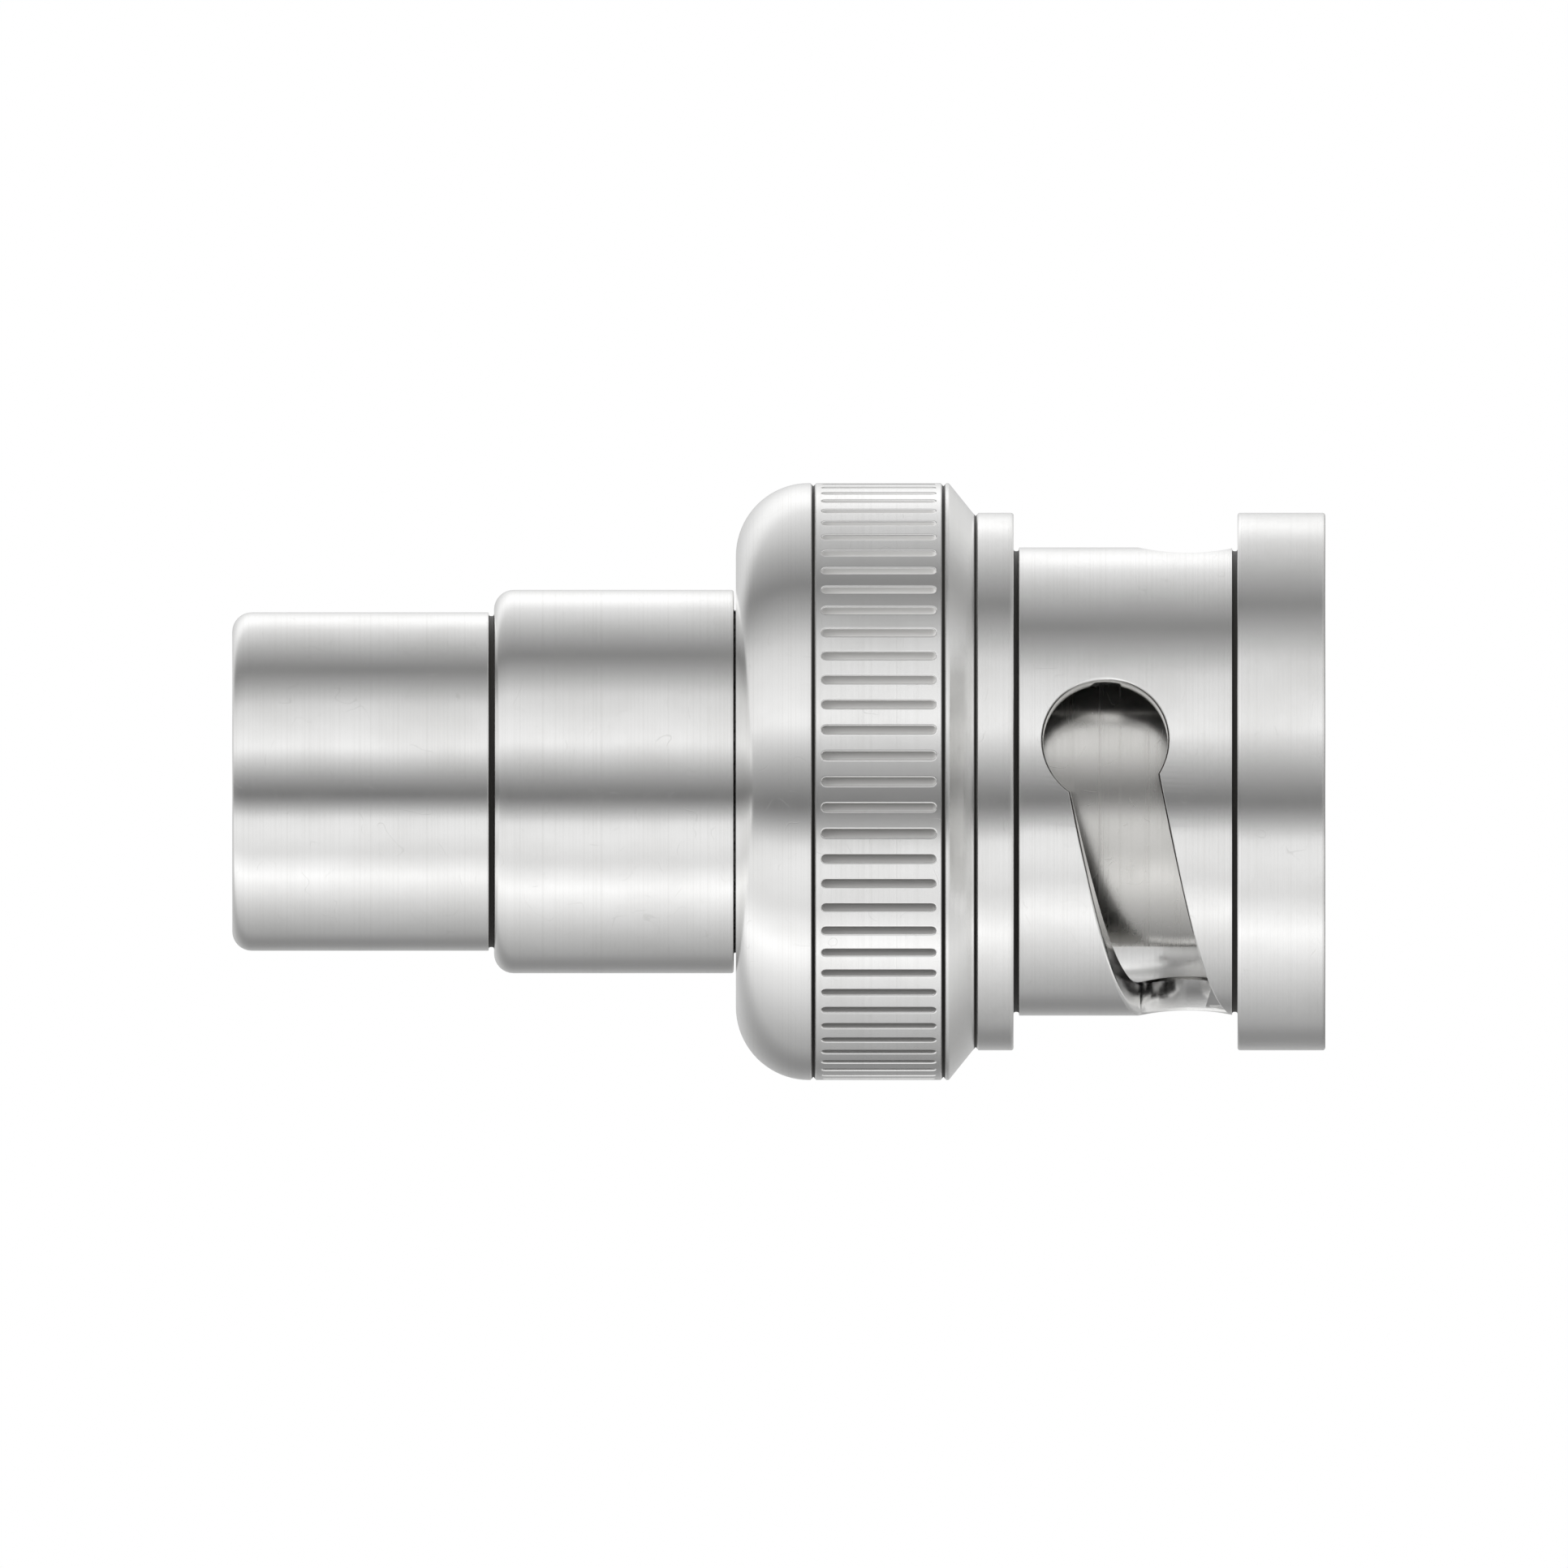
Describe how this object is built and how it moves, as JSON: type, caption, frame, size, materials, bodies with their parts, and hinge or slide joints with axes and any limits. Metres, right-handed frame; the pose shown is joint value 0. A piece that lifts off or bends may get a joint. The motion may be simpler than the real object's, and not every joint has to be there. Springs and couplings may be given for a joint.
{
  "type": "bnc to rca adapter",
  "caption": "Coaxial adapter: bayonet plug with a knurled, slotted coupling nut at one end, round jack with a slit centre socket at the other.",
  "frame": {"origin": "centre of the open front of the bayonet nut, which the adapter stands on", "axes": "+Z along the adapter's axis from the bayonet side to the jack side; the detent holes lie 10 degrees off the Y axis"},
  "size_m": [0.0146, 0.0146, 0.0268],
  "materials": {
    "nut_plating": "bright nickel plating on brass",
    "body_plating": "bright nickel plating on brass",
    "contact_plating": "nickel plating on brass",
    "spring_steel": "bright spring steel",
    "gold_plating": "gold plating on brass",
    "white_insulator": "white fluoropolymer, silky",
    "seal_rubber": "red silicone rubber, matte"
  },
  "bodies": {
    "adapter": {"adapter_body": "body_plating", "outer_contact": "contact_plating", "gasket": "seal_rubber", "wave_washer": "spring_steel", "front_insulator": "white_insulator", "centre_pin": "gold_plating", "centre_socket": "gold_plating", "rear_insulator": "white_insulator"},
    "nut_slide": {"slip_washer": "spring_steel"},
    "nut": {"coupling_nut": "nut_plating"}
  },
  "joints": [
    {"name": "nut_float", "type": "slide", "parent": "adapter", "child": "nut_slide", "axis": [0, 0, -1], "range_m": [0, 0.0005], "stiffness_N_per_m": 16000, "deforming": ["wave_washer"]},
    {"name": "nut_turn", "type": "hinge", "parent": "nut_slide", "child": "nut", "pos_m": [0, 0, 0.01293], "axis": [0, 0, 1], "continuous": true}
  ]
}
